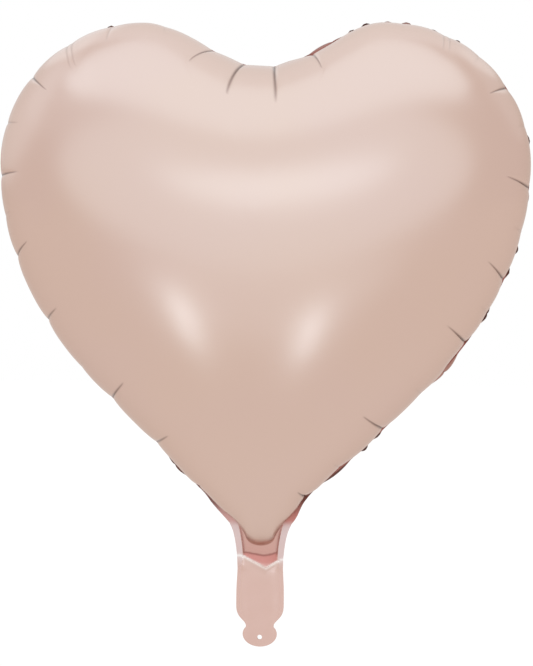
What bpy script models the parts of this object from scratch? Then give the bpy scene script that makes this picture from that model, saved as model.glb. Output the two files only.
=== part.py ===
"""Heart-shaped foil balloon, inflated and upright, held at its neck.

Two foil panels are welded together round the rim. A flat filling tail hangs below the heart and folds
at the neck. A flat self-sealing valve of two clear films lies between the panels, from the tail into
the heart. Real film is far thinner than a solid can be, so each film here is a thin stand-in sheet.

Frame: metres, origin in the middle of the neck's fold line, +Z up through the heart's cleft, +X to the
right of someone looking at the front, and the front panel facing -Y.
"""

import math

import bmesh
import bpy
import numpy as np

# The heart's rim, right half, from the cleft between the lobes down to the tip above the neck.
HALF_WIDTH = 0.1890
CLEFT_Z = 0.3510
LOBE_X, LOBE_Z = 0.0860, 0.3818
WIDEST_Z = 0.2820
FLANK_X, FLANK_Z = 0.1216, 0.1270
WEB_TOP_X, WEB_TOP_Z = 0.0186, 0.0270  # below here the flat web lies outside the inflated dome
TIP_SIDE_X, TIP_SIDE_Z = 0.0103, 0.0140
TIP_Z = 0.0086
CENTRE_Z = 0.2350  # the rings of the dome's mesh shrink towards this height

# How far the panels bulge, as a share of the square root of the membrane's deflection.
BULGE = 0.57

# Films and welds.
FILM = 0.0003
PLY_Y = 0.0008  # outer face of a flat foil film, from the middle plane
VALVE_FILM = 0.0002
VALVE_Y = 0.00035  # outer face of a valve film
WELD_WIDTH = 0.0040
WELD_THICKNESS = 0.0004
GAP = 0.0003
FOLDED_BACK = math.radians(82)  # round the heart the weld lies folded back against the rear panel
FOLD_START_Z, FOLD_END_Z = 0.0520, WEB_TOP_Z

# The neck and tail.
NECK_HALF = 0.0166
NECK_BOTTOM_Z = 0.0016
TAIL_TOP_Z = -0.0011
TAIL_HALF = 0.0170
PLY_HALF = TAIL_HALF - WELD_WIDTH
PLY_BOTTOM_Z = -0.0407
TAB_TOP_Z = -0.0410
TAB_TOP_HALF = 0.0158
TAIL_BEND_Z = -0.0360  # the tail's sides are straight above this height
WAIST_HALF, WAIST_Z = 0.0100, -0.0493
KNOB_HALF, KNOB_HEIGHT, KNOB_Z = 0.0123, 0.0090, -0.0551
RIBBON_HOLE_R, RIBBON_HOLE_Z = 0.0017, -0.0573
INLET_R, INLET_Z = 0.0040, -0.0280

# The valve inside.
VALVE_HALF = 0.0100
VALVE_WELD_WIDTH = 0.0020
VALVE_TOP_Z = 0.0750
VALVE_BOTTOM_Z = -0.0380

# Mesh density.
HALF_STATIONS = 36
RINGS = 9
WEB_ROWS = 5
CURVE_STEPS = 60

FOIL_COLOUR = (0.68, 0.49, 0.41)
WELD_COLOUR = (0.60, 0.41, 0.35)
CLEAR_COLOUR = (0.80, 0.80, 0.78)


def clear_scene():
    for obj in list(bpy.data.objects):
        bpy.data.objects.remove(obj)


def material(name, colour, roughness, metallic):
    made = bpy.data.materials.new(name)
    made.use_nodes = True
    shader = made.node_tree.nodes["Principled BSDF"]
    shader.inputs["Base Color"].default_value = (*colour, 1.0)
    shader.inputs["Roughness"].default_value = roughness
    shader.inputs["Metallic"].default_value = metallic
    return made


def add_object(name, points, faces, finish, smooth=False):
    mesh = bpy.data.meshes.new(name)
    mesh.from_pydata([tuple(p) for p in points], [], [tuple(f) for f in faces])
    if smooth:
        mesh.shade_smooth()
    mesh.materials.append(finish)
    obj = bpy.data.objects.new(name, mesh)
    bpy.context.scene.collection.objects.link(obj)
    return obj


def bezier(a, b, c, d, steps=CURVE_STEPS):
    """Points along one cubic curve in the XZ plane, both ends included."""
    t = np.linspace(0.0, 1.0, steps)[:, None]
    a, b, c, d = (np.array(p, float) for p in (a, b, c, d))
    return (1 - t) ** 3 * a + 3 * (1 - t) ** 2 * t * b + 3 * (1 - t) * t**2 * c + t**3 * d


def chain(curves):
    """Curves that meet end to end, as one line."""
    return np.concatenate([curves[0], *[c[1:] for c in curves[1:]]])


def resampled(line, count):
    """The same line with its points evenly spaced along it."""
    steps = np.linalg.norm(np.diff(line, axis=0), axis=1)
    along = np.concatenate([[0.0], np.cumsum(steps)])
    at = np.linspace(0.0, along[-1], count)
    return np.stack([np.interp(at, along, line[:, k]) for k in range(2)], axis=1)


def upper_rim():
    """The right half of the rim from the cleft down to where the flat web begins."""
    return chain(
        [
            bezier((0, CLEFT_Z), (0.031, CLEFT_Z), (0.056, LOBE_Z), (LOBE_X, LOBE_Z)),
            bezier((LOBE_X, LOBE_Z), (0.1440, LOBE_Z), (HALF_WIDTH, 0.335), (HALF_WIDTH, WIDEST_Z)),
            bezier((HALF_WIDTH, WIDEST_Z), (HALF_WIDTH, 0.222), (0.160, 0.1664), (FLANK_X, FLANK_Z)),
            bezier((FLANK_X, FLANK_Z), (0.0880, 0.0926), (0.0519, 0.0580), (WEB_TOP_X, WEB_TOP_Z)),
        ]
    )


def tip():
    """The rounded tip of the dome, right half, from the top of the web to the middle."""
    side = (TIP_SIDE_X, TIP_SIDE_Z)
    return chain(
        [
            bezier((WEB_TOP_X, WEB_TOP_Z), (0.0149, 0.0236), (0.0116, 0.0180), side),
            bezier(side, (0.0092, 0.0106), (0.0050, TIP_Z), (0.0, TIP_Z)),
        ]
    )


def neck_seam():
    """The inner edge of the neck's weld, right side, from the top of the web to the neck's lower end."""
    bottom_x = NECK_HALF - WELD_WIDTH
    return bezier(
        (WEB_TOP_X, WEB_TOP_Z), (0.0168, 0.0240), (bottom_x, 0.0110), (bottom_x, NECK_BOTTOM_Z)
    )


def mirrored(line):
    """The left copy of a right-hand line, running the other way."""
    return (line * (-1.0, 1.0))[::-1]


def dome_outline():
    """The dome's closed base line, clockwise from the cleft, and the first and last stations of its tip."""
    right = resampled(upper_rim(), HALF_STATIONS)
    low = resampled(tip(), 9)
    half = np.concatenate([right, low[1:]])
    outline = np.concatenate([half, mirrored(half)[1:-1]])
    first_low, last_low = len(right) - 1, len(half) - 1 + len(low) - 1
    return outline, first_low, last_low


def ring_scales():
    """How much each ring of the dome shrinks towards the centre: close together near the rim."""
    return np.cos(np.linspace(0.0, math.pi / 2, RINGS + 1))[:-1]


def dome_grid(outline):
    """Flat points of the dome, ring by ring from the rim, then the centre. Triangles follow."""
    centre = np.array((0.0, CENTRE_Z))
    rings = [centre + (outline - centre) * scale for scale in ring_scales()]
    points = np.concatenate([*rings, centre[None]])
    n = len(outline)
    faces = []
    for ring in range(RINGS - 1):
        for i in range(n):
            a, b = ring * n + i, ring * n + (i + 1) % n
            faces.append((a, a + n, b + n, b))
    last = (RINGS - 1) * n
    faces += [(last + i, RINGS * n, last + (i + 1) % n) for i in range(n)]
    return points, faces


def membrane_deflection(points, faces, fixed):
    """A pressed membrane's deflection at each point, zero on the first `fixed` points, by finite elements.

    It is scaled so that a disc of radius R gives R * R - r * r.
    """
    count = len(points)
    stiffness, load = np.zeros((count, count)), np.zeros(count)
    triangles = []
    for f in faces:
        triangles += [(f[0], f[k], f[k + 1]) for k in range(1, len(f) - 1)]
    for t in triangles:
        p = points[list(t)]
        edges = np.array([p[2] - p[1], p[0] - p[2], p[1] - p[0]])
        area = abs(edges[0, 0] * edges[1, 1] - edges[0, 1] * edges[1, 0]) / 2
        stiffness[np.ix_(t, t)] += edges @ edges.T / (4 * area)
        load[list(t)] += 4 * area / 3
    free = np.arange(fixed, count)
    deflection = np.zeros(count)
    deflection[free] = np.linalg.solve(stiffness[np.ix_(free, free)], load[free])
    return np.maximum(deflection, 0.0)


def web_grid(low_line):
    """Flat points of the web and neck, row by row from the dome's tip line down to the neck's end."""
    columns = len(low_line)
    across = np.linspace(0.0, 1.0, columns)[:, None]
    side = resampled(neck_seam(), WEB_ROWS + 1)
    top_left, top_right = low_line[-1], low_line[0]
    rows = []
    for row in range(1, WEB_ROWS + 1):
        q = row / WEB_ROWS
        right, left = side[row], side[row] * (-1, 1)
        bottom = side[-1] * (1 - across) + side[-1] * (-1, 1) * across
        straight_right = top_right * (1 - q) + side[-1] * q
        straight_left = top_left * (1 - q) + side[-1] * (-1, 1) * q
        line = low_line * (1 - q) + bottom * q
        line = line + (right - straight_right) * (1 - across) + (left - straight_left) * across
        rows.append(line)
    return rows


def panel(name, facing, finish):
    """One foil panel: the inflated dome and the flat web down to the neck. facing is -1 front, 1 rear."""
    outline, first_low, last_low = dome_outline()
    flat, faces = dome_grid(outline)
    height = BULGE * np.sqrt(membrane_deflection(flat, faces, len(outline)))
    rows = web_grid(outline[first_low : last_low + 1])
    columns = len(rows[0])
    above = list(range(first_low, last_low + 1))
    for row in rows:
        start = len(flat)
        flat = np.concatenate([flat, row])
        height = np.concatenate([height, np.zeros(columns)])
        below = list(range(start, start + columns))
        faces += [(above[i], above[i + 1], below[i + 1], below[i]) for i in range(columns - 1)]
        above = below
    points = np.stack([flat[:, 0], facing * (PLY_Y + height), flat[:, 1]], axis=1)
    if facing > 0:
        faces = [f[::-1] for f in faces]
    obj = add_object(name, points, faces, finish, smooth=True)
    bm = bmesh.new()
    bm.from_mesh(obj.data)
    bmesh.ops.recalc_face_normals(bm, faces=bm.faces)
    top = max(bm.faces, key=lambda f: facing * f.calc_center_median().y)
    if top.normal.y * facing < 0:
        bmesh.ops.reverse_faces(bm, faces=bm.faces)
    bm.to_mesh(obj.data)
    bm.free()
    shell = obj.modifiers.new("Film", "SOLIDIFY")
    shell.thickness = FILM
    shell.offset = -1.0
    shell.use_even_offset = True
    return obj


def smoothstep(t):
    t = min(1.0, max(0.0, t))
    return t * t * (3 - 2 * t)


def ribbon(name, inner, outward, fold, finish):
    """A flat strip along a line: its inner edge, the in-plane outward direction and its fold angle."""
    points, faces = [], []
    for edge, out, angle in zip(inner, outward, fold):
        base = np.array((edge[0], 0.0, edge[1]))
        out3 = np.array((out[0], 0.0, out[1]))
        back = np.array((0.0, 1.0, 0.0))
        across = out3 * math.cos(angle) + back * math.sin(angle)
        thick = out3 * math.sin(angle) - back * math.cos(angle)
        start = base - back * (PLY_Y - WELD_THICKNESS / 2) * math.sin(angle)
        for u, v in ((0, -0.5), (1, -0.5), (1, 0.5), (0, 0.5)):
            lift = v + 0.5 * math.sin(angle)
            points.append(start + across * WELD_WIDTH * u + thick * WELD_THICKNESS * lift)
    last = len(points) - 4
    for k in range(0, last, 4):
        for i in range(4):
            j = (i + 1) % 4
            faces.append((k + i, k + j, k + 4 + j, k + 4 + i))
    faces += [(3, 2, 1, 0), (last, last + 1, last + 2, last + 3)]
    obj = add_object(name, points, faces, finish)
    bm = bmesh.new()
    bm.from_mesh(obj.data)
    bmesh.ops.recalc_face_normals(bm, faces=bm.faces)
    bm.to_mesh(obj.data)
    bm.free()
    return obj


def rim_seal(finish):
    """The weld all round the heart and down both sides of the neck, as one strip."""
    rim, seam = resampled(upper_rim(), HALF_STATIONS), resampled(neck_seam(), WEB_ROWS + 1)
    right = chain([rim, seam])
    line = np.concatenate([mirrored(right)[:-1], right])
    steps = np.diff(line, axis=0)
    steps /= np.linalg.norm(steps, axis=1)[:, None]
    tangent = np.concatenate([steps[:1], steps[:-1] + steps[1:], steps[-1:]])
    tangent /= np.linalg.norm(tangent, axis=1)[:, None]
    outward = np.stack([-tangent[:, 1], tangent[:, 0]], axis=1)
    fold = [
        FOLDED_BACK * smoothstep((z - FOLD_END_Z) / (FOLD_START_Z - FOLD_END_Z)) for z in line[:, 1]
    ]
    return ribbon("rim_seal", line + outward * GAP, outward, fold, finish)


def plate(name, outline, y0, y1, finish, hole=None):
    """A flat plate between two depths, with an optional round hole as (centre x, centre z, radius)."""
    n = len(outline)
    points = [(x, y, z) for y in (y0, y1) for x, z in outline]
    faces = [tuple(range(n)), tuple(range(2 * n - 1, n - 1, -1))]
    faces += [(i, n + i, n + (i + 1) % n, (i + 1) % n) for i in range(n)]
    obj = add_object(name, points, faces, finish)
    bm = bmesh.new()
    bm.from_mesh(obj.data)
    bmesh.ops.recalc_face_normals(bm, faces=bm.faces)
    bm.to_mesh(obj.data)
    bm.free()
    if hole:
        cut_hole(obj, hole, (y0 + y1) / 2)
    return obj


def cut_hole(obj, hole, y):
    """Cuts a round hole along Y with a hidden cutter."""
    x, z, radius = hole
    bm = bmesh.new()
    bmesh.ops.create_cone(
        bm, cap_ends=True, segments=32, radius1=radius, radius2=radius, depth=20 * PLY_Y
    )
    mesh = bpy.data.meshes.new(obj.name + "_cutter")
    bm.to_mesh(mesh)
    bm.free()
    cutter = bpy.data.objects.new(obj.name + "_cutter", mesh)
    bpy.context.scene.collection.objects.link(cutter)
    cutter.rotation_euler = (math.pi / 2, 0, 0)
    cutter.location = (x, y, z)
    cutter.hide_render = True
    cut = obj.modifiers.new("Hole", "BOOLEAN")
    cut.object = cutter
    cut.operation = "DIFFERENCE"
    cut.solver = "EXACT"

def rectangle(x0, x1, z0, z1):
    return [(x0, z0), (x1, z0), (x1, z1), (x0, z1)]


def tail_side():
    """The tail's right-hand cut edge from the fold line down to the waist above the knob."""
    straight = np.array([(NECK_HALF, TAIL_TOP_Z), (TAIL_HALF, -0.0150), (TAIL_HALF, TAIL_BEND_Z)])
    shoulder = bezier(
        (TAIL_HALF, TAIL_BEND_Z), (TAIL_HALF, -0.0440), (WAIST_HALF, -0.0452),
        (WAIST_HALF, WAIST_Z), 14,
    )
    return chain([straight, shoulder])


def hang_tab(finish):
    """The fully welded end of the tail: shoulders, waist and the round knob with the ribbon hole."""
    side = tail_side()
    side = side[side[:, 1] < TAB_TOP_Z]
    top = np.array([(np.interp(-TAB_TOP_Z, -tail_side()[:, 1], tail_side()[:, 0]), TAB_TOP_Z)])
    start = math.asin((WAIST_Z - KNOB_Z) / KNOB_HEIGHT)
    turn = np.linspace(start, -math.pi / 2, 16)[1:]
    knob = np.stack([KNOB_HALF * np.cos(turn), KNOB_Z + KNOB_HEIGHT * np.sin(turn)], axis=1)
    half = np.concatenate([top, side, knob])
    outline = np.concatenate([half, mirrored(half)[1:]])
    plate(
        "hang_tab", outline, -PLY_Y, PLY_Y, finish, hole=(0.0, RIBBON_HOLE_Z, RIBBON_HOLE_R)
    )


def tail_seals(finish):
    """The welds down the two sides of the tail."""
    side = tail_side()
    side = side[side[:, 1] > PLY_BOTTOM_Z]
    end = np.array([(np.interp(-PLY_BOTTOM_Z, -tail_side()[:, 1], tail_side()[:, 0]), PLY_BOTTOM_Z)])
    inner = np.array([(PLY_HALF + GAP, PLY_BOTTOM_Z), (PLY_HALF + GAP, TAIL_TOP_Z)])
    outline = np.concatenate([side, end, inner])
    for name, sign in (("tail_seal_right", 1.0), ("tail_seal_left", -1.0)):
        plate(name, outline * (sign, 1.0), -PLY_Y, PLY_Y, finish)


def tail_plies(finish):
    """The tail's two foil plies between its side welds. The rear one has the filling hole."""
    outline = rectangle(-PLY_HALF, PLY_HALF, PLY_BOTTOM_Z, TAIL_TOP_Z)
    plate("tail_front_ply", outline, -PLY_Y, -PLY_Y + FILM, finish)
    plate("tail_rear_ply", outline, PLY_Y - FILM, PLY_Y, finish, hole=(0.0, INLET_Z, INLET_R))


def valve(prefix, z0, z1, finish):
    """One length of the valve: two clear films with a narrow weld down each side."""
    film = rectangle(-VALVE_HALF, VALVE_HALF, z0, z1)
    plate(f"{prefix}_front_film", film, -VALVE_Y, -VALVE_Y + VALVE_FILM, finish)
    plate(f"{prefix}_rear_film", film, VALVE_Y - VALVE_FILM, VALVE_Y, finish)
    x0, x1 = VALVE_HALF + GAP, VALVE_HALF + GAP + VALVE_WELD_WIDTH
    plate(f"{prefix}_weld_right", rectangle(x0, x1, z0, z1), -VALVE_Y, VALVE_Y, finish)
    plate(f"{prefix}_weld_left", rectangle(-x1, -x0, z0, z1), -VALVE_Y, VALVE_Y, finish)


def main():
    clear_scene()
    foil = material("foil", FOIL_COLOUR, 0.35, 1.0)
    weld = material("foil_weld", WELD_COLOUR, 0.40, 1.0)
    clear = material("clear_film", CLEAR_COLOUR, 0.20, 0.0)
    panel("front_panel", -1, foil)
    panel("rear_panel", 1, foil)
    rim_seal(weld)
    valve("valve", NECK_BOTTOM_Z, VALVE_TOP_Z, clear)
    tail_plies(foil)
    tail_seals(weld)
    hang_tab(weld)
    valve("inlet", VALVE_BOTTOM_Z, TAIL_TOP_Z, clear)


main()
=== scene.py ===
"""Looks for the heart-shaped foil balloon: puckered satin foil, its welds, valve films and studio.

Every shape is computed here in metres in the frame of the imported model: +Z up through the cleft between
the lobes, the front facing -Y, and the neck's fold line at the origin.
"""

import math

import bmesh
import bpy
import numpy as np
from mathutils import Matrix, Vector
from mathutils.geometry import delaunay_2d_cdt


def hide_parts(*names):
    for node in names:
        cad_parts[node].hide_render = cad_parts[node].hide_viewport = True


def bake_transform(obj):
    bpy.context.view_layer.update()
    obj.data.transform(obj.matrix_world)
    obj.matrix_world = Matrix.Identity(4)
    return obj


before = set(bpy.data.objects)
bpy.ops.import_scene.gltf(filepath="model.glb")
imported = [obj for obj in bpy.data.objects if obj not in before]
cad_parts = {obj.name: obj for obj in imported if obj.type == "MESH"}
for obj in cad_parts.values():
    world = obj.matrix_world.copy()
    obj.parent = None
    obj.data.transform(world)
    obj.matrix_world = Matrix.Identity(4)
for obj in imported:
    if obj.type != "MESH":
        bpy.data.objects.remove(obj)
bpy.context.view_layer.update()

MM = 0.001

# The filled heart's outline, right half, from the cleft to the top of the flat neck.
HALF_WIDTH = 0.1896
CLEFT_Z = 0.3515
LOBE = (0.0860, 0.3823)
WIDEST_Z = 0.2800
FLANK = (0.1220, 0.1266)
WEB_TOP = (0.0186, 0.0270)
TIP_SIDE = (0.0103, 0.0140)
TIP_Z = 0.0086
TIP_LEAN = 0.0026  # the flanks just above the neck lean to the left
CENTRE = np.array((0.0, 0.2350))
BULGE = 0.57

# The flat neck and tail: half widths of the cut film, and the weld inside its edge.
WELD_WIDTH = 0.0040
NECK_HALF = 0.0166
TAIL_HALF = 0.0171
TAIL_BEND_Z = -0.0350
WAIST = (0.0100, -0.0493)
KNOB_HALF, KNOB_HEIGHT, KNOB_Z = 0.0123, 0.0090, -0.0551
HOLE_R, HOLE_Z = 0.0017, -0.0573
PORT_R, PORT_Z = 0.0040, -0.0280
TAB_Z = -0.0405  # the hang tab is welded all over below here
TAIL_WELD_SHARE = 0.7

# The seam round the heart: how far the weld lies inside the puffed outline.
SEAM_INSET = 0.0044
TIP_INSET = 0.0011
SEAM_LEAVES = math.radians(32)  # how steeply each film leaves the seam

RIM_RUN = 0.0065  # the way along the film from the seam out to the rim
FOLD_START = 0.006  # a crease deepens over this way from the seam
FOLD_HALF = 0.0009  # half width of a sharp fold at its inner end
SHADE_HALF = 0.0005  # half width of a fold's painted shade line at its inner end
VALLEY_HALF = 0.0085  # half width of the soft valley round a fold
VALLEY_REACH = 1.9  # the valley's length, in lengths of its fold
FULL_FOLD = 0.0021  # a crease this deep gets a fold's darkest painted shade

# Puffs: how far from the seam they reach, and the shaded mouth on the side next to the seam.
PUFF_DEPTH = 0.020
MOUTH_DEPTH, LIP_DEPTH, MOUTH_EDGE = 0.0072, 0.0042, 0.0014

# The neck's pocket: the tail's crest from left to right, and how far the film stands out there.
CREST_X = (-0.0146, 0.0042, 0.0155)
CREST_Z = (0.0023, -0.0069, -0.0003)
CREST_OUT = (0.0013, 0.0031, 0.0013)
POCKET_FLOOR = 0.00045
TAIL_OUT = 0.00052
# where the painted shade round the pocket stops, and how fast it fades
POCKET_TOP_Z, POCKET_FADE = 0.0290, 0.006
WELD_SKIN = 0.00018  # where a film lies on the weld strip
RIM_SKIN = 0.00014
WELD_THICKNESS = 0.00030
VALVE_THICKNESS = 0.00008
VALVE_HALF, VALVE_TOP, VALVE_BOTTOM = 0.0100, 0.0750, -0.0380
VALVE_GAP = 0.00022  # each valve film's distance from the middle plane

# Mesh sizes: the membrane's solution, each foil panel's grid, and the spread of points below the dome.
COARSE_STATIONS, COARSE_ROWS = 128, 24
PANEL_STATIONS, PANEL_ROWS = 820, 76
NECK_SPACING, TAB_SPACING = 0.0010, 0.0012
MERGED = 0.00005  # points closer than this are one


# ---------------------------------------------------------------- curves


def bezier(a, b, c, d, steps=80):
    """A cubic Bezier curve from a to d."""
    t = np.linspace(0.0, 1.0, steps)[:, None]
    a, b, c, d = (np.array(p, float) for p in (a, b, c, d))
    return (1 - t) ** 3 * a + 3 * (1 - t) ** 2 * t * b + 3 * (1 - t) * t**2 * c + t**3 * d


def chain(curves):
    """Curves joined end to end, with each shared point kept once."""
    return np.concatenate([curves[0], *[c[1:] for c in curves[1:]]])


def mirrored(line):
    """The left-hand copy of a right-hand line, run the other way."""
    return (line * (-1.0, 1.0))[::-1]


def lengths(line):
    """How far along a line each of its points lies."""
    return np.concatenate([[0.0], np.cumsum(np.linalg.norm(np.diff(line, axis=0), axis=1))])


def resampled(line, count):
    """The same line through evenly spaced points."""
    along = lengths(line)
    at = np.linspace(0.0, along[-1], count)
    return np.stack([np.interp(at, along, line[:, k]) for k in range(2)], axis=1)


def smooth(t):
    """An eased step from 0 to 1 as t goes from 0 to 1."""
    t = np.clip(t, 0.0, 1.0)
    return t * t * (3 - 2 * t)


def upper_rim():
    """The right half of the heart's outline, from the cleft down to the top of the web beside the neck."""
    return chain(
        [
            bezier((0, CLEFT_Z), (0.031, CLEFT_Z), (0.056, LOBE[1]), LOBE),
            bezier(LOBE, (0.1445, LOBE[1]), (HALF_WIDTH, 0.335), (HALF_WIDTH, WIDEST_Z)),
            bezier((HALF_WIDTH, WIDEST_Z), (HALF_WIDTH, 0.221), (0.1605, 0.1664), FLANK),
            bezier(FLANK, (0.0880, 0.0925), (0.0519, 0.0580), WEB_TOP),
        ]
    )


def tip_line():
    """The lower end of the dome, between the webs, right half."""
    return chain(
        [
            bezier(WEB_TOP, (0.0149, 0.0236), (0.0116, 0.0180), TIP_SIDE),
            bezier(TIP_SIDE, (0.0092, 0.0106), (0.0050, TIP_Z), (0.0, TIP_Z)),
        ]
    )


# ---------------------------------------------------------------- the filled dome


class Dome:
    """The pressed membrane over the heart, as a smooth map from (station, row) to a point.

    A station runs from 0 to 1 round the outline, from the cleft down the right side, round the tip and up
    the left side. A row runs from 0 at the rim to 1 at the centre.
    """

    def __init__(self):
        rim, low = upper_rim(), tip_line()
        half = chain([rim, low])
        whole = np.concatenate([half, mirrored(half)[1:]])
        along = lengths(whole)
        self.perimeter = along[-1]
        self.web_s = lengths(half)[len(rim) - 1] / self.perimeter
        at = np.linspace(0.0, along[-1], 4097)
        self.table = np.stack([np.interp(at, along, whole[:, k]) for k in range(2)], axis=1)[:-1]
        z = self.table[:, 1]
        self.table[:, 0] -= TIP_LEAN * smooth((z - 0.028) / 0.013) * (1 - smooth((z - 0.046) / 0.030))
        self.heights = self.solve()

    def outline(self, s):
        n = len(self.table)
        x = (np.asarray(s) % 1.0) * n
        i = np.floor(x).astype(int) % n
        f = (x - np.floor(x))[..., None]
        return self.table[i] * (1 - f) + self.table[(i + 1) % n] * f

    def outward(self, s):
        """The outline's in-plane outward normal, averaged over a few millimetres."""
        step = 0.0018
        d = self.outline(np.asarray(s) + step) - self.outline(np.asarray(s) - step)
        n = np.stack([-d[..., 1], d[..., 0]], axis=-1)
        return n / np.linalg.norm(n, axis=-1, keepdims=True)

    def solve(self):
        """The membrane's height over a coarse grid, from a finite element solution of an even pressure."""
        n, m = COARSE_STATIONS, COARSE_ROWS
        ring = np.cos(np.arange(m) / m * math.pi / 2)
        base = self.outline(np.arange(n) / n)
        grid = CENTRE + (base[:, None] - CENTRE) * ring[None, :, None]
        points = np.concatenate([grid.transpose(1, 0, 2).reshape(-1, 2), CENTRE[None]])
        i, j = np.meshgrid(np.arange(n), np.arange(m - 1))
        a, b = (j * n + i).ravel(), (j * n + (i + 1) % n).ravel()
        tris = [np.stack([a, a + n, b + n], 1), np.stack([a, b + n, b], 1)]
        last = (m - 1) * n + np.arange(n)
        tris.append(np.stack([last, np.full(n, m * n), np.roll(last, -1)], 1))
        tris = np.concatenate(tris)
        p = points[tris]
        e = np.stack([p[:, 2] - p[:, 1], p[:, 0] - p[:, 2], p[:, 1] - p[:, 0]], 1)
        area = np.abs(e[:, 0, 0] * e[:, 1, 1] - e[:, 0, 1] * e[:, 1, 0]) / 2
        local = np.einsum("tik,tjk->tij", e, e) / (4 * area)[:, None, None]
        stiffness = np.zeros((len(points), len(points)))
        np.add.at(stiffness, (tris[:, :, None], tris[:, None, :]), local)
        load = np.zeros(len(points))
        np.add.at(load, tris, (4 * area / 3)[:, None])
        u = np.linalg.solve(stiffness[n:, n:], load[n:])
        h = BULGE * np.sqrt(np.maximum(u, 0.0))
        rows = np.concatenate([h[:-1].reshape(m - 1, n), np.full((1, n), h[-1])])
        first = rows[:1]
        padded = [-rows[1:2], -first, np.zeros((1, n)), rows, rows[-2:-1], rows[-3:-2]]
        return np.concatenate(padded)  # row r of the solution is stored at r + 2

    def height(self, s, t):
        """Cubic interpolation of the membrane's height."""
        n, m = COARSE_STATIONS, COARSE_ROWS
        x, y = (s % 1.0) * n, np.clip(t, 0, 1) * m + 2
        i, j = np.floor(x).astype(int), np.minimum(np.floor(y).astype(int), m + 2)
        fx, fy = x - i, y - j
        out = 0.0
        for b, wy in zip((-1, 0, 1, 2), self.cubic(fy)):
            for a, wx in zip((-1, 0, 1, 2), self.cubic(fx)):
                out = out + wx * wy * self.heights[np.clip(j + b, 0, m + 4), (i + a) % n]
        return out

    @staticmethod
    def cubic(f):
        return (
            ((2 - f) * f - 1) * f / 2,
            ((3 * f - 5) * f * f + 2) / 2,
            ((4 - 3 * f) * f + 1) * f / 2,
            (f - 1) * f * f / 2,
        )

    def near_tip(self, s):
        """1 round the tip of the dome, 0 round the heart."""
        from_tip = np.abs(((np.asarray(s) % 1.0) - 0.5)) * self.perimeter
        reach = (0.5 - self.web_s) * self.perimeter
        return 1 - smooth((from_tip - reach + 0.004) / 0.036)

    def inset(self, s):
        tip = self.near_tip(s)
        return SEAM_INSET * (1 - tip) + TIP_INSET * tip

    def weld_width(self, s):
        return WELD_WIDTH + 0.0021 * self.near_tip(s)

    def seam_wave(self, s):
        """How far the seam wanders towards the rear, in metres."""
        a = 2 * math.pi * np.asarray(s)
        wave = 0.5 * np.sin(9 * a + 0.7) + 0.35 * np.sin(17 * a + 2.1) + 0.25 * np.sin(31 * a + 4.0)
        return 0.0008 * wave * (1 - self.near_tip(s))

    def seam(self, s):
        """The weld's inner line round the heart, in the XZ plane."""
        return self.outline(s) - self.outward(s) * self.inset(s)[..., None]

    def place(self, s, t):
        """The film's point before it is creased, as (x, protrusion, z)."""
        base = self.outline(s)
        flat = CENTRE + (base - CENTRE) * np.cos(t * math.pi / 2)[..., None]
        h = self.height(s, t)
        inset = self.inset(s)
        radius = inset / (1 - math.sin(SEAM_LEAVES))
        c = np.clip(math.cos(SEAM_LEAVES) - h / radius, 0.0, 1.0)
        out = radius * (np.sqrt(1 - c * c) - math.sin(SEAM_LEAVES))
        flat = flat - self.outward(s) * (inset - np.clip(out, 0, inset))[..., None]
        return np.stack([flat[..., 0], h, flat[..., 1]], axis=-1)


dome = Dome()


def round_rim(s, at):
    """The distance round the rim between stations, in metres."""
    return np.abs((s - at + 0.5) % 1.0 - 0.5) * dome.perimeter


def station_near(x, z):
    """The station whose rim point is nearest to (x, z) in millimetres."""
    d = np.linalg.norm(dome.table - np.array((x, z)) * MM, axis=1)
    return float(np.argmin(d)) / len(dome.table)


# ---------------------------------------------------------------- creases

# Each crease: rim point (x, z) and the way from it to its inner end as seen from the front, then the depth
# of the sharp fold and of the soft valley round it. All in millimetres.
FRONT_CREASES = [
    (8, 350, 5, -32, 2.9, 0.9),
    (33, 359, 11, -17, 1.9, 0.6),
    (62, 378, -1, -6, 0.5, 0.5),
    (98, 382, 0, -7.5, 0.4, 0.5),
    (127, 373, -1, -15, 0.8, 0.4),
    (131, 371, -1, -14, 0.8, 0.4),
    (152, 358, -5, -9, 0.5, 0.5),
    (171, 335, -14, -7.5, 2.2, 0.9),
    (184, 308, -7.5, -2.5, 0.5, 0.5),
    (189, 265, -18, 6, 2.3, 0.5),
    (184, 234, -7.5, 2.5, 0.6, 0.5),
    (170, 201, -13, 12, 2.5, 1),
    (157, 178, -6, 5, 0.6, 0.5),
    (143, 157, -14.5, 12.5, 3, 1.2),
    (113, 120, -5, 5, 0.7, 0.5),
    (85, 96, -14.5, 12, 2.5, 1),
    (57, 66, -5, 5, 0.8, 0.5),
    (32, 45, -5.5, 6.5, 2.6, 0.5),
    (-14, 351, -8, -28, 3, 1),
    (-37, 359, -14, -13, 1.9, 0.7),
    (-70, 381, 1.5, -9, 0.5, 0.5),
    (-108, 379, -1, -15, 0.8, 0.5),
    (-137, 367, 9, -22.5, 0.9, 0.4),
    (-141, 365, 9, -21, 0.9, 0.4),
    (-165, 342, 17, -13.5, 2.1, 0.6),
    (-185, 310, 13.5, -2, 1.2, 0.3),
    (-188, 272, 19.5, 1, 2.1, 0.5),
    (-184, 243, 9, 3, 0.6, 0.5),
    (-176, 214, 15, 10.5, 2.3, 0.9),
    (-152, 170, 13, 9, 2.3, 0.9),
    (-128, 136, 6, 6, 0.6, 0.5),
    (-106, 114, 15, 14, 2.5, 1),
    (-76, 81, 13.5, 8, 2.3, 0.9),
    (-46, 51, 5, 1.5, 2.6, 0.7),
]
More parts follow.
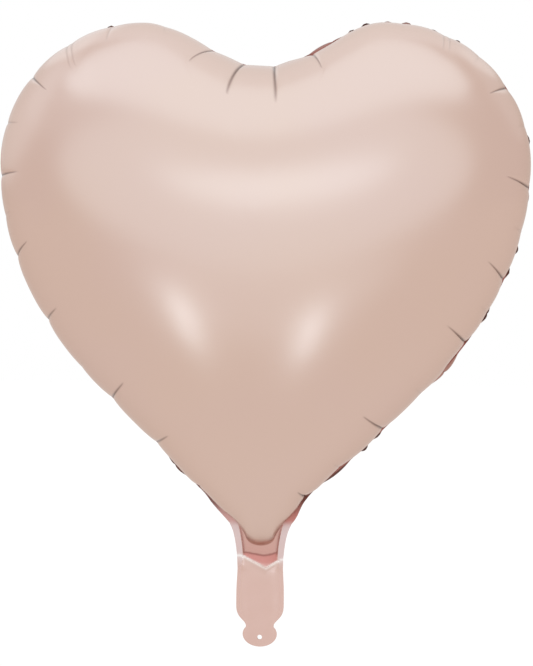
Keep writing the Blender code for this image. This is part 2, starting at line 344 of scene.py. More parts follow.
# On the rear, the rim point, how far the crease reaches in, its sharp depth and its soft depth.
REAR_CREASES = [
    (-6, 351, 22, 2.6, 0.9),
    (22, 356, 12, 1.8, 0.8),
    (47, 371, 8, 1.6, 0.8),
    (80, 382, 12, 2.0, 0.8),
    (114, 379, 7, 1.4, 0.7),
    (139, 367, 13, 2.2, 0.9),
    (161, 350, 6, 1.2, 0.6),
    (181, 320, 13, 2.3, 0.9),
    (189, 285, 10, 1.8, 0.8),
    (187, 250, 14, 2.4, 1.0),
    (178, 219, 8, 1.4, 0.7),
    (157, 178, 14, 2.4, 1.0),
    (128, 136, 13, 2.2, 0.9),
    (98, 107, 9, 1.8, 0.8),
    (70, 76, 13, 2.2, 0.9),
    (42, 52, 7, 1.6, 0.7),
    (-27, 358, 14, 2.0, 0.8),
    (-55, 376, 8, 1.4, 0.7),
    (-90, 382, 13, 2.2, 0.9),
    (-124, 375, 8, 1.4, 0.7),
    (-151, 359, 13, 2.2, 0.9),
    (-177, 327, 10, 2.0, 0.8),
    (-188, 293, 9, 1.6, 0.8),
    (-188, 257, 14, 2.4, 1.0),
    (-179, 226, 7, 1.4, 0.7),
    (-164, 191, 14, 2.3, 0.9),
    (-139, 151, 10, 1.8, 0.8),
    (-115, 123, 13, 2.2, 0.9),
    (-88, 93, 9, 1.6, 0.7),
    (-60, 68, 12, 2.2, 0.9),
    (-36, 47, 6, 1.5, 0.6),
]

# Puffs that swell out past the other film, or dip in behind it: rim point, half length round the rim, how
# far they swell out, all in millimetres, and how deep the shade is inside the puff's mouth.
FRONT_PUFFS = [
    (41, 363, 20, -3.4, 0),
    (138, 142, 12, -1.6, 0),
    (57, 64, 16, -1.2, 0),
    (31, 45, 8, -1.0, 0),
    (-37, 46, 12, -1.8, 0),
]
REAR_PUFFS = [
    (45, 365, 16, 2.6, 0.45),
    (62, 376, 3.5, 2.6, 1.0),
    (72, 381, 5, 3.9, 1.0),
    (87, 383, 5, 3.2, 0.5),
    (101, 382, 5, 3.2, 0.6),
    (120, 378, 5, 2.8, 0.8),
    (138, 369, 4.5, 3.6, 1.0),
    (189, 300, 5, 2.2, 0.9),
    (190, 257, 6, 1.6, 0.3),
    (187, 219, 4.5, 2.8, 1.0),
    (178, 204, 4, 2.0, 1.0),
    (161, 174, 7, 3.2, 1.0),
    (132, 134, 13, 3.4, 0.3),
    (104, 108, 6, 1.2, 0.6),
    (84, 87, 4.5, 1.6, 1.0),
    (74, 78, 4.5, 3.2, 1.0),
    (53, 60, 15, 1.9, 0.9),
    (-60, 66, 13, 4.7, 0.85),
    (-112, 380, 4, 3.4, 0.9),
]


class Crease:
    """One crease, with its ends as (station, row) on the dome."""

    def __init__(self, x, z, dx, dz, sharp, soft):
        self.s = station_near(x, z)
        rim = dome.outline(np.array(self.s))
        end = rim + np.array((dx, dz)) * MM - CENTRE
        rays = dome.table - CENTRE
        far = np.linalg.norm(rays, axis=1)
        k = int(np.argmax(rays @ end / far))
        self.end_s = k / len(dome.table)
        self.end_t = math.acos(min(1.0, np.linalg.norm(end) / far[k])) * 2 / math.pi
        self.turn = (self.end_s - self.s + 0.5) % 1.0 - 0.5
        self.sharp, self.soft = sharp * MM, soft * MM

    def drift(self, t):
        """How far round the rim the crease has wandered at row t: straight in plan, then fading back."""
        v = (t / self.end_t) ** 2
        return self.turn * v * np.exp(-0.9 * np.maximum(v - 1, 0) ** 1.5)


def rear_crease(x, z, reach, sharp, soft):
    """A crease of the rear film, square to the rim."""
    inward = -dome.outward(np.array(station_near(x, z))) * reach
    return Crease(x, z, *inward, sharp, soft)


def crowded(x, density, count):
    """Values along x, spaced by a density of them."""
    total = np.concatenate([[0], np.cumsum((density[1:] + density[:-1]) / 2)])
    return np.interp(np.arange(count) / count * total[-1], total, x)


def stations(creases, count):
    """Stations round the rim, crowded at the creases and round the tip, with one on every crease."""
    s = np.linspace(0, 1, 20001)
    density = 1.0 + 2.0 * dome.near_tip(s)
    for crease in creases:
        away = round_rim(s, crease.s)
        density += (2.0 + 2.2 * crease.sharp / MM) / (1 + (away / 0.0022) ** 2)
    picked = crowded(s, density, count)
    for at in [crease.s for crease in creases] + [dome.web_s, 1 - dome.web_s]:
        picked[np.argmin(np.abs(picked - at))] = at
    return np.sort(picked)


def row_steps(count):
    """Rows from the rim to the centre, crowded where the creases are."""
    x = np.linspace(0, 1, 4001)
    return crowded(x, 0.55 + 6.0 / (1 + (x / 0.10) ** 2), count)


def grid_normals(p):
    """Unit normals of a grid that closes on itself along its first axis, facing the viewer's side."""
    du = np.roll(p, -1, 0) - np.roll(p, 1, 0)
    dv = np.gradient(p, axis=1)
    n = np.cross(du, dv)
    n /= np.maximum(np.linalg.norm(n, axis=-1, keepdims=True), 1e-12)
    return np.where(n[:, -3:-2, 1:2] < 0, -n, n)


def drifted(creases, s, t):
    """Stations bent along the creases: each row's stations are carried by the creases on both sides."""
    order = sorted(creases, key=lambda c: c.s)
    knots = np.array([c.s for c in order])
    out = np.empty((len(s), len(t)))
    for j, row in enumerate(t):
        shift = np.array([c.drift(row) for c in order])
        wrapped = np.concatenate([[knots[-1] - 1], knots, [knots[0] + 1]])
        out[:, j] = s + np.interp(s, wrapped, np.concatenate([shift[-1:], shift, shift[:1]]))
    return out


def swell(s, p, puffs):
    """Moves the rim's film outwards at the puffs; returns the film and the shade on each puff's near side."""
    shade, moved = np.zeros(p.shape[:2]), np.zeros(p.shape[:2])
    out_of_plane = p[:, :, 1]
    near = np.exp(-((out_of_plane / PUFF_DEPTH) ** 2)) * smooth(out_of_plane / 0.004)
    for x, z, half, out, dark in puffs:
        away = round_rim(s, station_near(x, z))
        bump = np.cos(np.clip(away / (half * 1.25 * MM), 0, 1) * math.pi / 2)[:, None] ** 1.2
        moved += out * MM * bump * near
        mouth = smooth((MOUTH_DEPTH * np.sqrt(bump) - out_of_plane) / MOUTH_EDGE)
        lip = smooth(bump * 2.5) * smooth((out_of_plane - LIP_DEPTH) / MOUTH_EDGE) * mouth
        shade = np.maximum(shade, np.maximum(0.85 * lip, dark * mouth) if out > 0 else 0)
    outward = dome.outward(s)[:, None]
    q = p.copy()
    q[..., 0] += outward[..., 0] * moved
    q[..., 2] += outward[..., 1] * moved
    return q, shade


def creased_dome(creases, count, rows):
    """The dome's grid with its creases folded in, and the painted shade of the folds at each point."""
    s, t = stations(creases, count), row_steps(rows)
    ss, tt = np.meshgrid(s, t, indexing="ij")
    p = dome.place(drifted(creases, s, t), tt)
    steps = np.linalg.norm(np.diff(p, axis=1), axis=2)
    run = np.concatenate([np.zeros((count, 1)), np.cumsum(steps, axis=1)], axis=1)
    normal = grid_normals(p)
    depth, fold_shade = np.zeros_like(ss), np.zeros_like(ss)
    for crease in creases:
        column = int(np.argmin(np.abs(s - crease.s)))
        length = np.interp(crease.end_t, t, run[column])
        away = round_rim(ss, crease.s) * np.cos(tt * math.pi / 2)
        part = np.maximum(run - RIM_RUN, 0) / (length - RIM_RUN)
        left = np.clip(1 - part, 0, 1)
        start = smooth(run / FOLD_START)
        wide = np.clip(1 - part / VALLEY_REACH, 0, 1) ** 1.6 * start
        rising = 0.40 + 0.60 * smooth(part * 3)
        depth += crease.sharp * rising * left**0.9 * start * np.exp(-away / (FOLD_HALF + 0.0007 * left))
        depth += crease.soft * wide * np.exp(-((away / VALLEY_HALF) ** 2))
        # painted shade: a dark line down each fold, darker for deeper creases and fading towards the inner
        # end
        darkness = min(1.0, crease.sharp / FULL_FOLD) ** 1.6 * left**0.35 * start
        fold_shade = np.maximum(fold_shade, darkness * np.exp(-((away / (SHADE_HALF * (1 + left))) ** 2)))
    p = p - normal * depth[..., None]
    return s, p, fold_shade


# ---------------------------------------------------------------- neck and tail


def tail_edge():
    """The right-hand cut edge from the fold line to the bottom of the knob."""
    straight = np.array([(NECK_HALF, 0.0), (0.0163, -0.0080), (0.0167, -0.0160)])
    side = bezier((0.0167, -0.0160), (0.0172, -0.022), (TAIL_HALF, -0.030), (TAIL_HALF, TAIL_BEND_Z), 12)
    shoulder = bezier((TAIL_HALF, TAIL_BEND_Z), (TAIL_HALF, -0.0442), (WAIST[0], -0.0452), WAIST, 22)
    start = math.asin((WAIST[1] - KNOB_Z) / KNOB_HEIGHT)
    turn = np.linspace(start, -math.pi / 2, 26)
    knob = np.stack([KNOB_HALF * np.cos(turn), KNOB_Z + KNOB_HEIGHT * np.sin(turn)], axis=1)
    waist = bezier(WAIST, (0.0098, -0.0499), knob[2] + (-0.0008, 0.0008), knob[3], 6)
    return chain([resampled(straight, 16), side, shoulder, waist, knob[3:]])


def weld_inner():
    """The weld's inner line down the right side: the neck from the web's top, then the tail to the tab."""
    top = dome.seam(np.array(dome.web_s))
    x = NECK_HALF - WELD_WIDTH
    neck = bezier(top, top - (0.0016, 0.0034), (x, 0.0110), (x, 0.0), 26)
    edge = tail_edge()
    tail = resampled(edge[edge[:, 1] > TAB_Z], 34) - (WELD_WIDTH * TAIL_WELD_SHARE, 0)
    tail[:, 0] -= (tail[0, 0] - x) * smooth(1 + tail[:, 1] / 0.006)
    return neck, tail


def neck_bow(z):
    """How far the flat weld strips beside the neck bow forward, in metres."""
    return 0.0013 * smooth((0.0270 - z) / 0.016) * smooth((z + 0.0120) / 0.012)


def crest_z(x):
    """The crest of the tail's top edge across the neck: a shallow V, lowest right of the middle."""
    return np.interp(x, CREST_X, CREST_Z)


def valley_z(x):
    """The fold line above the crest, where the film tucks in under the dome."""
    across = (-0.0146, -0.0118, 0.0025, 0.0075, 0.0147)
    return np.interp(x, across, (0.0050, 0.0038, 0.0014, 0.0023, 0.0050))


def weld_line_x(z):
    """How far from the middle the weld's inner line lies at a height on the neck or tail."""
    neck, tail = weld_inner()
    line = np.concatenate([neck, tail[1:]])
    return np.interp(-z, -line[:, 1], line[:, 0])


def front_relief(x, z):
    """How far the front film stands out from the middle plane below the dome's tip."""
    crest, valley = crest_z(x), valley_z(x)
    top = np.interp(x, CREST_X, CREST_OUT)
    up = np.clip((z - crest) / np.maximum(valley - crest, 0.001), 0, 1)
    above = POCKET_FLOOR + (top - POCKET_FLOOR) * (1 - up) + 0.0003 * smooth((z - valley) / 0.008)
    ripple = 0.00007 * np.sin(x * 330 + z * 90 + 1.0) + 0.00006 * np.sin(z * 330 - x * 120)
    below = TAIL_OUT + (top - TAIL_OUT) * np.exp(-np.maximum(crest - z, 0) / 0.0024)
    below = below + ripple * smooth(-z / 0.02)
    f = np.where(z > crest, above, below)
    return to_weld(f, x, z)


def rear_relief(x, z):
    """The same for the rear film, which tucks in less."""
    crest = 0.0009 * np.exp(-np.abs(z - 0.0010 + 0.12 * x) / 0.0030)
    ripple = 0.00008 * np.sin(x * 290 - z * 110 + 2.0)
    return to_weld(TAIL_OUT + crest + ripple * smooth(-z / 0.02), x, z, -1.0)


def to_weld(f, x, z, side=1.0):
    """Brings a film's height down to the weld along its inner edge."""
    width = 0.0013 + 0.0055 * smooth((-z - 0.002) / 0.010)
    edge = smooth(1 - (weld_line_x(z) - np.abs(x)) / width)
    return f * (1 - edge) + (side * neck_bow(z) + WELD_SKIN) * edge


def ring(x, z, radius, count):
    """Points round a hole."""
    a = np.arange(count) / count * 2 * math.pi
    return np.stack([x + radius * np.cos(a), z + radius * np.sin(a)], axis=1)


def filled(loops, lines, spacing, clear=0.45):
    """Triangles between an outer loop and any holes, through inner lines and an even spread of points."""

    def in_sheet(x, z):
        return is_inside(loops[0], x, z) and not any(is_inside(h, x, z) for h in loops[1:])

    points, edges = [], []
    for loop in loops:
        start = len(points)
        points += [Vector(q) for q in loop]
        edges += [(start + k, start + (k + 1) % len(loop)) for k in range(len(loop))]
    for line in lines:
        start = len(points)
        points += [Vector(q) for q in line]
        edges += [(start + k, start + k + 1) for k in range(len(line) - 1)]
    fixed = np.array([tuple(q) for q in points])
    lo, hi = loops[0].min(0), loops[0].max(0)
    rows = np.arange(lo[1], hi[1], spacing * 0.866)
    inner = []
    for k, z in enumerate(rows):
        for x in np.arange(lo[0] + (k % 2) * spacing / 2, hi[0], spacing):
            if in_sheet(x, z) and np.min(np.hypot(fixed[:, 0] - x, fixed[:, 1] - z)) > clear * spacing:
                inner.append(Vector((x, z)))
    points += inner
    out = delaunay_2d_cdt(points, edges, [], 0, 1e-9)
    co = np.array([tuple(v) for v in out[0]])
    tris = []
    for f in out[2]:
        if in_sheet(*co[list(f)].mean(0)):
            tris.append(tuple(f))
    return co, tris


def is_inside(loop, x, z):
    """Whether a point is inside a closed loop, by counting the sides to its right."""
    ax, az = loop[:, 0], loop[:, 1]
    bx, bz = np.roll(ax, -1), np.roll(az, -1)
    crossing = (az > z) != (bz > z)
    with np.errstate(divide="ignore", invalid="ignore"):
        at = ax + (z - az) * (bx - ax) / (bz - az)
    return bool(np.count_nonzero(crossing & (x < at)) % 2)


# ---------------------------------------------------------------- building pieces


def new_object(name, points, faces, material):
    """A smooth-shaded mesh object with one material."""
    mesh = bpy.data.meshes.new(name)
    mesh.from_pydata(np.asarray(points).tolist(), [], faces)
    mesh.shade_smooth()
    mesh.materials.append(material)
    obj = bpy.data.objects.new(name, mesh)
    bpy.context.scene.collection.objects.link(obj)
    return obj


def dome_faces(count, rows):
    """Faces of a grid of stations and rows that closes on itself, with a fan round its last point."""
    i, j = np.meshgrid(np.arange(count), np.arange(rows - 1), indexing="ij")
    a, b = i * rows + j, ((i + 1) % count) * rows + j
    quads = np.stack([a, a + 1, b + 1, b], axis=-1).reshape(-1, 4)
    ends = np.arange(count) * rows + rows - 1
    fan = np.stack([ends, np.full(count, count * rows), np.roll(ends, -1)], axis=-1)
    return [tuple(f) for f in quads.tolist()] + [tuple(f) for f in fan.tolist()]


def neck_loop(tip_edge):
    """The film's edge below the dome: along the dome's end, down the welds and round the hang tab."""
    neck, tail = weld_inner()
    edge = tail_edge()
    side = np.concatenate([neck[1:], tail[1:], edge[edge[:, 1] < TAB_Z]])
    fading = np.linspace(1, 0, len(neck) - 1)[:, None]
    side[: len(neck) - 1] += (tip_edge[0] - neck[0]) * fading * (1, 0)
    return np.concatenate([tip_edge[::-1], side, mirrored(side)[1:]])


def panel(name, facing, creases, puffs, relief, material, holes):
    """One foil panel, from the heart's rim to the end of the hang tab. The front faces -1, the rear 1."""
    s, p, fold_shade = creased_dome(creases, PANEL_STATIONS, PANEL_ROWS)
    # the puffs' mouths get painted shade, added to the folds' painted shade
    p, mouth_shade = swell(s, p, puffs)
    fold_shade = np.maximum(fold_shade, mouth_shade)
    out = p[:, :, 1]
    lift = relief(p[:, :, 0], p[:, :, 2]) * np.exp(-out / 0.002) * dome.near_tip(s)[:, None]
    y = facing * (out + np.maximum(lift, RIM_SKIN)) + dome.seam_wave(s)[:, None] * np.exp(-out / 0.006)
    dome_points = np.stack([p[:, :, 0], y, p[:, :, 2]], axis=-1).reshape(-1, 3)
    centre = np.array([[CENTRE[0], facing * dome.height(np.array(0.0), np.array(1.0)), CENTRE[1]]])

    at_tip = (s >= dome.web_s - 1e-9) & (s <= 1 - dome.web_s + 1e-9)
    loop = neck_loop(p[at_tip, 0][:, [0, 2]])
    lines = []
    if facing < 0:
        xs = np.linspace(-0.0118, 0.0118, 30)
        lines = [np.stack([xs, line(xs)], axis=1) for line in (crest_z, valley_z)]
    flat, tris = filled([loop, *holes], lines, NECK_SPACING)
    tail_points = np.stack([flat[:, 0], facing * relief(flat[:, 0], flat[:, 1]), flat[:, 1]], axis=1)

    start = len(dome_points) + 1
    faces = dome_faces(PANEL_STATIONS, PANEL_ROWS) + [tuple(start + k for k in f) for f in tris]
    points = np.concatenate([dome_points, centre, tail_points])
    obj = new_object(name, points, faces, material)
    fold_shades = np.concatenate([fold_shade.ravel(), [0.0], np.zeros(len(tail_points))])
    if facing < 0:
        tuck_shade, crest, shade = neck_fields(points[:, 0], points[:, 1] * facing, points[:, 2])
        fold_shades = np.maximum(fold_shades, shade)
    else:
        # painted shade and reddish reflection in the groove along the seam, round the rear film above the
        # neck
        groove = np.exp(-((np.abs(points[:, 1]) / 0.0065) ** 4)) * smooth(points[:, 2] / 0.02)
        tuck_shade, crest = 0.7 * groove, np.zeros(len(points))
        fold_shades = np.maximum(fold_shades, 0.35 * groove)
    low = smooth((0.010 - points[:, 2]) / 0.014)
    finish_panel(obj, facing, {"fold_shade": fold_shades, "painted_tuck_shade": tuck_shade, "crest": crest, "low": low})
    return obj


def neck_fields(x, y, z):
    """The front film's painted tints round the pocket: painted reddish shade and reflection where it is
    tucked in, a painted highlight along the crest and on the dome's lip, and painted shade along its fold
    lines.
    """
    from_weld = weld_line_x(z) - np.abs(x)
    inside = smooth((from_weld + 0.0005) / 0.0012)
    flat = np.exp(-np.maximum(y - 0.0020, 0) / 0.0015)
    pocket = smooth((POCKET_TOP_Z - z) / POCKET_FADE)
    above_crest = smooth((z - crest_z(x) - 0.0002) / 0.0008)
    band = above_crest * smooth((valley_z(x) - z + 0.0011) / 0.0010)
    walls = np.exp(-(((from_weld - 0.0006) / 0.0012) ** 2)) * smooth((z - 0.0010) / 0.002)
    # painted reddish shade and reflection on the tucked film between crest and valley and on the pocket's
    # walls
    tuck_shade = np.maximum(np.maximum(band, 0.52 * above_crest), 0.95 * walls) * inside * flat * pocket
    line = np.exp(-(((z - valley_z(x)) / 0.0007) ** 2))
    # painted shade along the valley's fold line and down the pocket's walls
    shade = np.maximum(0.46 * line, 0.36 * walls) * inside * flat * pocket
    # painted highlight on the lip of the dome's tip
    lip = np.exp(-(((y - 0.0040) / 0.0035) ** 2)) * smooth((y - 0.0012) / 0.0012)
    lip = lip * smooth((0.0240 - z) / 0.008) * smooth((z - 0.0065) / 0.001)
    return np.clip(tuck_shade, 0, 1), np.maximum(painted_crest_highlight(x, z) * flat, 0.6 * lip), shade


def painted_crest_highlight(x, z):
    """A painted highlight along the crest of the tail's top edge, fading down the tail."""
    below = np.maximum(crest_z(x) - z, 0)
    line = np.exp(-(((z - crest_z(x) + 0.0007) / 0.0009) ** 2))
    return np.clip(0.7 * line + 0.3 * (below > 0) * np.exp(-below / 0.0035), 0, 1)


def store(mesh, fields):
    """Stores each field as an attribute of the mesh's points."""
    for name, values in fields.items():
        attribute = mesh.attributes.new(name, "FLOAT", "POINT")
        attribute.data.foreach_set("value", values.astype(np.float32))


def finish_panel(obj, facing, fields):
    """Joins the dome to the neck, faces every triangle outwards and stores the fields the foil uses."""
    mesh = obj.data
    store(mesh, fields)
    bm = bmesh.new()
    bm.from_mesh(mesh)
    bmesh.ops.remove_doubles(bm, verts=bm.verts, dist=MERGED)
    bmesh.ops.recalc_face_normals(bm, faces=bm.faces)
    top = max(bm.faces, key=lambda f: facing * f.calc_center_median().y)
    if top.normal.y * facing < 0:
        bmesh.ops.reverse_faces(bm, faces=bm.faces)
    bm.to_mesh(mesh)
    bm.free()
    mesh.shade_smooth()


def main():
    """Builds every piece and hides the parts of the model that it stands in for."""
    foil = foil_material("satin_foil", FOIL_COLOUR)
    weld = weld_material("foil_weld", WELD_COLOUR)
    clear = clear_material("clear_valve_film")
    hang_hole = ring(0.0, HOLE_Z, HOLE_R, 28)
    port = ring(0.0, PORT_Z, PORT_R, 36)
    front_creases = [Crease(*values) for values in FRONT_CREASES]
    rear_creases = [rear_crease(*values) for values in REAR_CREASES]
    front = panel("front_film", -1, front_creases, FRONT_PUFFS, front_relief, foil, [hang_hole])
    rear = panel("rear_film", 1, rear_creases, REAR_PUFFS, rear_relief, foil, [hang_hole, port])
    for obj, nodes in ((front, ("front_panel", "tail_front_ply")), (rear, ("rear_panel", "tail_rear_ply"))):
        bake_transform(obj)
        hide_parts(*nodes)
    seam = weld_strip("weld", weld)
    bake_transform(seam)
    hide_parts("rim_seal", "tail_seal_left", "tail_seal_right", "hang_tab")
    valve_pieces(clear)


# ---------------------------------------------------------------- welds and valve


def weld_strip(name, material):
    """The flat weld round the heart, down the neck and tail, and all over the hang tab."""
    s = np.linspace(0, dome.web_s, 900)[:-1]
    neck, tail = weld_inner()
    edge = tail_edge()
    upper_tail = edge[edge[:, 1] > TAB_Z]
    # below the web's top the strip runs between the inner line and the cut edge
    web = np.array([dome.web_s])
    start_out = (dome.seam(web) + dome.outward(web) * dome.weld_width(web)[:, None])[0]
    neck_out = bezier(start_out, start_out - (0.0030, 0.0050), (0.0176, 0.0110), (NECK_HALF, 0.0), 26)
    right_inner = np.concatenate([neck, tail[1:]])
    right_outer = np.concatenate([neck_out, resampled(upper_tail, 34)[1:]])
    right = np.stack([right_inner, (right_inner + right_outer) / 2, right_outer], axis=1)
    right = np.stack([right[..., 0], -neck_bow(right[..., 1]), right[..., 1]], -1)
    points, faces = [], []
    for side, at, flat_rows in ((1, s, right), (-1, 1 - s, right * (-1, 1, 1))):
        grid = chain_rows(strip_rows(at), flat_rows)
        start = len(points)
        k, w = grid.shape[:2]
        points += grid.reshape(-1, 3).tolist()
        for a in range(k - 1):
            for b in range(w - 1):
                near, far = start + a * w + b, start + (a + 1) * w + b
                faces.append((near, far, far + 1, near + 1)[::side])

    corner = upper_tail[-1:]
    side = np.concatenate([corner, edge[edge[:, 1] < TAB_Z]])
    inner_top = corner - (WELD_WIDTH * TAIL_WELD_SHARE, 0)
    loop = np.concatenate([inner_top, side, mirrored(side)[1:], inner_top * (-1, 1)])
    flat, tris = filled([loop, ring(0.0, HOLE_Z, HOLE_R, 28)], [], TAB_SPACING)
    start = len(points)
    points += [(x, 0.0, z) for x, z in flat]
    faces += [tuple(start + k for k in f) for f in tris]
    obj = new_object(name, points, faces, material)
    thicken(obj, WELD_THICKNESS)
    co = np.array([v.co for v in obj.data.vertices])
    x, z = co[:, 0], co[:, 2]
    # painted reddish shade and reflection on the strip from the web up, stronger on the right; painted shade
    # over the strip round the heart, deepest near the web's top; the painted crest highlight
    store(
        obj.data,
        {
            "painted_tuck_shade": smooth((z - 0.0215) / 0.006) * np.where(x > 0, 1.0, 0.6),
            "fold_shade": 0.42 * smooth((z - 0.0300) / 0.014) + 0.38 * np.exp(-(((z - 0.0400) / 0.008) ** 2)),
            "crest": painted_crest_highlight(x, z),
            "low": smooth((0.002 - z) / 0.012),
        },
    )
    return obj


def strip_rows(s):
    """Cross rows of the ruffled strip round the heart: five points from the seam to the cut edge."""
    inner, out, wave = dome.seam(s), dome.outward(s), dome.seam_wave(s)
    ruffle = np.sin(2 * math.pi * 61 * s + 0.5) + 0.7 * np.sin(2 * math.pi * 97 * s + 1.9)
    free = 1 - dome.near_tip(s)
    rows = []
    for u in np.linspace(0, 1, 5):
        flat = inner + out * (dome.weld_width(s) * u - 0.0003)[:, None]
        y = wave + 0.00055 * ruffle * u**1.5 * free
        rows.append(np.stack([flat[:, 0], y, flat[:, 1]], axis=1))
    return np.stack(rows, axis=1)


def chain_rows(five, three):
    """The ruffled rows and then the flat rows, all with five points across."""
    inner, middle, outer = three[:, 0], three[:, 1], three[:, 2]
    spread = [inner, (inner + middle) / 2, middle, (middle + outer) / 2, outer]
    return np.concatenate([five, np.stack(spread, axis=1)])


def thicken(obj, thickness):
    """Closes a one-sided mesh into a thin solid centred on it."""
    bm = bmesh.new()
    bm.from_mesh(obj.data)
    bmesh.ops.remove_doubles(bm, verts=bm.verts, dist=MERGED)
    bmesh.ops.recalc_face_normals(bm, faces=bm.faces)
    bm.to_mesh(obj.data)
    bm.free()
    shell = obj.modifiers.new("thickness", "SOLIDIFY")
    shell.thickness = thickness
    shell.offset = 0.0
    depsgraph = bpy.context.evaluated_depsgraph_get()
    solid = bpy.data.meshes.new_from_object(obj.evaluated_get(depsgraph))
    obj.modifiers.clear()
    obj.data = solid
    solid.shade_smooth()
    solid.set_sharp_from_angle(angle=math.radians(50))


def valve_pieces(material):
    """The clear valve films and their side welds, from the filling port up into the heart."""
    zs = np.linspace(VALVE_BOTTOM, VALVE_TOP, 60)
    across = np.linspace(-VALVE_HALF, VALVE_HALF, 9)
    for name, y, nodes in (
        ("valve_film_front", -VALVE_GAP, ("valve_front_film", "inlet_front_film")),
        ("valve_film_rear", VALVE_GAP, ("valve_rear_film", "inlet_rear_film")),
    ):
        strip(name, across, zs, y, nodes, material)
    seam_x, seam_half = VALVE_HALF + 0.0012, 0.001
    for name, x, nodes in (
        ("valve_seam_left", -seam_x, ("valve_weld_left", "inlet_weld_left")),
        ("valve_seam_right", seam_x, ("valve_weld_right", "inlet_weld_right")),
    ):
        strip(name, np.linspace(x - seam_half, x + seam_half, 3), zs, 0.0, nodes, material)


def strip(name, xs, zs, y, nodes, material):
    """One flat piece of the valve, thickened into a thin solid in place of its parts of the model."""
    x, z = np.meshgrid(xs, zs)
    points = np.stack([x, np.full_like(x, y), z], axis=-1).reshape(-1, 3)
    w = len(xs)
    faces = []
    for a in range(len(zs) - 1):
        faces += [(a * w + b, a * w + b + 1, (a + 1) * w + b + 1, (a + 1) * w + b) for b in range(w - 1)]
    obj = new_object(name, points, faces, material)
    thicken(obj, VALVE_THICKNESS)
    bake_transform(obj)
    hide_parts(*nodes)


# ---------------------------------------------------------------- materials

# The foil's own colour and its tone at grazing angles, then the painted shade in folds, the painted reddish
# shade and reflection in tucked film, the tail's tone, the painted highlight along the crest, and the welds.
FOIL_COLOUR = (0.610, 0.440, 0.366)
FOIL_EDGE = (0.80, 0.74, 0.70)
FOLD_SHADE_COLOUR = (0.070, 0.024, 0.018)
TUCK_SHADE_COLOUR = (0.47, 0.182, 0.148)
TAIL_COLOUR = (0.610, 0.400, 0.338)
CREST_HIGHLIGHT_COLOUR = (0.84, 0.75, 0.70)
WELD_COLOUR = (0.610, 0.440, 0.405)


def new_shader(name):
    """A new material with its nodes, links and main shader."""
    made = bpy.data.materials.new(name)
    made.use_nodes = True
    nodes, links = made.node_tree.nodes, made.node_tree.links
    return made, nodes, links, nodes["Principled BSDF"]


def mix_colour(nodes, links, factor, below, colour):
    """A colour mix from a socket or plain colour towards a plain colour; returns its output."""
    mix = nodes.new("ShaderNodeMix")
    mix.data_type = "RGBA"
    links.new(factor, mix.inputs["Factor"])
    if isinstance(below, tuple):
        mix.inputs[6].default_value = (*below, 1.0)
    else:
        links.new(below, mix.inputs[6])
    mix.inputs[7].default_value = (*colour, 1.0)
    return mix.outputs[2]


def foil_fields(nodes, links, tint):
    """Tints the foil by the fields stored on its points: the tail's tone, and the painted shade, reddish
    reflection and highlight of folds, tucks and the crest.
    """
    for name, colour in (
        ("low", TAIL_COLOUR),
        ("painted_tuck_shade", TUCK_SHADE_COLOUR),
        ("crest", CREST_HIGHLIGHT_COLOUR),
        ("fold_shade", FOLD_SHADE_COLOUR),
    ):
        stored = nodes.new("ShaderNodeAttribute")
        stored.attribute_name = name
        tint = mix_colour(nodes, links, stored.outputs["Fac"], tint, colour)
    return tint


def texture(nodes, links, kind, scale, detail=None):
    """A procedural texture fixed to the object; returns its node."""
    made = nodes.new(kind)
    made.inputs["Scale"].default_value = scale
    if detail is not None:
        made.inputs["Detail"].default_value = detail
    place = nodes.new("ShaderNodeTexCoord")
    links.new(place.outputs["Object"], made.inputs["Vector"])
    return made


def add_bump(nodes, links, shader, pattern, strength, distance):
    """Raises the shader's surface by a pattern."""
    bump = nodes.new("ShaderNodeBump")
    bump.inputs["Strength"].default_value = strength
    bump.inputs["Distance"].default_value = distance
    links.new(pattern.outputs["Fac"], bump.inputs["Height"])
    links.new(bump.outputs["Normal"], shader.inputs["Normal"])


def foil_material(name, colour):
    """Satin metallised film: a faint drift of colour, a fine grain, and the fields' tints with their painted
    shade and highlight.
    """
    made, nodes, links, shader = new_shader(name)
    shader.inputs["Metallic"].default_value = 1.0
    shader.inputs["Roughness"].default_value = 0.27
    shader.inputs["Specular Tint"].default_value = (*FOIL_EDGE, 1.0)
    patches = texture(nodes, links, "ShaderNodeTexNoise", 9.0, 2.0)
    warm = tuple(c * k for c, k in zip(colour, (1.01, 1.0, 0.97)))
    cool = tuple(c * k for c, k in zip(colour, (1.0, 0.985, 1.03)))
    tint = mix_colour(nodes, links, patches.outputs["Fac"], warm, cool)
    links.new(foil_fields(nodes, links, tint), shader.inputs["Base Color"])
    grain = texture(nodes, links, "ShaderNodeTexNoise", 55.0, 3.0)
    add_bump(nodes, links, shader, grain, 0.10, 0.0004)
    return made


def weld_material(name, colour):
    """Pressed film, duller than the dome, with the sealing bar's fine ribs."""
    made, nodes, links, shader = new_shader(name)
    shader.inputs["Metallic"].default_value = 1.0
    shader.inputs["Roughness"].default_value = 0.40
    shader.inputs["Specular Tint"].default_value = (*FOIL_EDGE, 1.0)
    # the fields paint shade, reddish reflection and a highlight on the weld too
    links.new(foil_fields(nodes, links, colour), shader.inputs["Base Color"])
    ribs = texture(nodes, links, "ShaderNodeTexWave", 260.0)
    ribs.bands_direction = "DIAGONAL"
    add_bump(nodes, links, shader, ribs, 0.25, 0.0002)
    return made


def clear_material(name):
    """Hazy clear polyethylene."""
    made, nodes, links, shader = new_shader(name)
    shader.inputs["Base Color"].default_value = (0.85, 0.85, 0.83, 1.0)
    shader.inputs["Roughness"].default_value = 0.22
    shader.inputs["Alpha"].default_value = 0.45
    haze = texture(nodes, links, "ShaderNodeTexNoise", 90.0)
    add_bump(nodes, links, shader, haze, 0.2, 0.0003)
    return made


# ---------------------------------------------------------------- studio


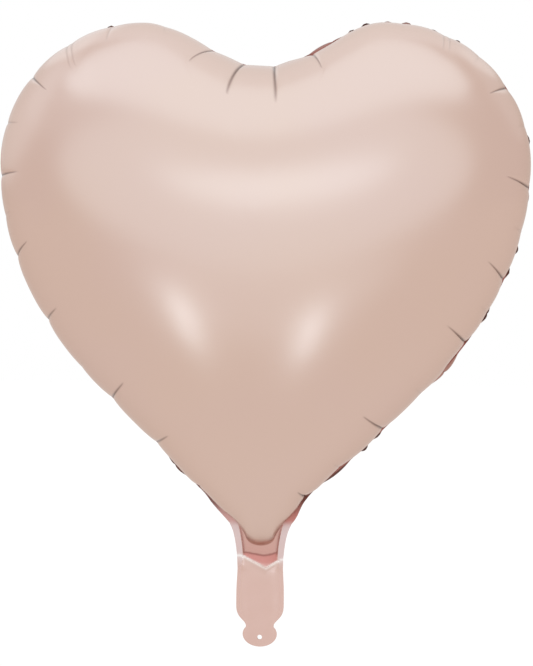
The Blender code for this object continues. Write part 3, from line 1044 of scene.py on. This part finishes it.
SUBJECT = Vector((0.0, 0.0, 0.2000))
COOL_LIGHT = (0.49, 0.79, 1.0)
FLOOR_SIDE, FLOOR_Z = 60.0, -2.60
CAMERA_TARGET = Vector((0.0030, 0.0, 0.1610))
CAMERA_AZIMUTH, CAMERA_ELEVATION, CAMERA_ROLL = 4.0, 1.0, 0.5
CAMERA_DISTANCE = 1.324
# Each softbox: azimuth from the front, elevation, distance, width, height, radiance.
SOFTBOXES = {
    "overhead": (0, 74.5, 1.30, 2.60, 1.18, 0.73),
    "front_wide": (0, 22, 1.60, 5.60, 1.70, 0.42),
    "front_core": (2, 24, 1.60, 1.50, 0.42, 0.60),
    "front_low": (0, -16, 1.55, 2.60, 0.60, 0.19),
    "low_left": (-29, -22.5, 1.50, 0.15, 0.44, 2.6),
    "low_right": (17, -27, 1.50, 0.15, 0.42, 2.6),
    "rear_top": (180, 52, 1.60, 2.60, 1.70, 0.50),
    "rear_left": (-122, 30, 1.55, 2.20, 1.50, 0.30),
    "side_left": (-82, 40, 1.50, 1.30, 0.90, 0.12),
    "rear_right": (125, 34, 1.55, 1.20, 1.00, 0.16),
}


def softbox(name, azimuth, elevation, distance, width, height, radiance):
    """An oval area light facing the balloon, unseen by the camera itself."""
    towards = direction(azimuth, elevation)
    data = bpy.data.lights.new(name, "AREA")
    data.shape = "ELLIPSE"
    data.size, data.size_y = width, height
    data.energy = radiance * math.pi * (width * height * math.pi / 4)
    data.color = COOL_LIGHT
    light = bpy.data.objects.new(name, data)
    light.location = SUBJECT + towards * distance
    light.rotation_euler = (-towards).to_track_quat("-Z", "Y").to_euler()
    light.visible_camera = False
    bpy.context.scene.collection.objects.link(light)


def studio():
    """A plain white floor well below the balloon, a white surround and the softboxes."""
    white, _, _, shader = new_shader("studio_white")
    shader.inputs["Base Color"].default_value = (0.60, 0.60, 0.60, 1)
    shader.inputs["Roughness"].default_value = 0.9
    shader.inputs["Emission Color"].default_value = (1, 1, 1, 1)
    shader.inputs["Emission Strength"].default_value = 0.41
    corners = [(x * FLOOR_SIDE, y * FLOOR_SIDE, FLOOR_Z) for x, y in ((-1, -1), (1, -1), (1, 1), (-1, 1))]
    floor = new_object("floor", corners, [(0, 1, 2, 3)], white)
    world = bpy.data.worlds.new("studio")
    bpy.context.scene.world = world
    world.use_nodes = True
    back = world.node_tree.nodes["Background"]
    back.inputs["Color"].default_value = (1.0, 1.0, 1.0, 1)
    back.inputs["Strength"].default_value = 1.0
    for name, values in SOFTBOXES.items():
        softbox(name, *values)
    bpy.context.scene.view_settings.view_transform = "Standard"


def direction(azimuth, elevation):
    """The unit vector towards an azimuth from the front and an elevation, in degrees."""
    a, e = math.radians(azimuth), math.radians(elevation)
    return Vector((math.sin(a) * math.cos(e), -math.cos(a) * math.cos(e), math.sin(e)))


def camera():
    """Straight at the front, a touch from the right, level with the middle of the balloon."""
    data = bpy.data.cameras.new("camera")
    data.sensor_fit = "AUTO"
    data.sensor_width = 36.0
    data.lens = 100.0
    cam = bpy.data.objects.new("camera", data)
    bpy.context.scene.collection.objects.link(cam)
    cam.location = CAMERA_TARGET + direction(CAMERA_AZIMUTH, CAMERA_ELEVATION) * CAMERA_DISTANCE
    cam.rotation_euler = (CAMERA_TARGET - cam.location).to_track_quat("-Z", "Y").to_euler()
    cam.rotation_euler.rotate_axis("Z", math.radians(CAMERA_ROLL))
    bpy.context.scene.camera = cam


main()
studio()
camera()
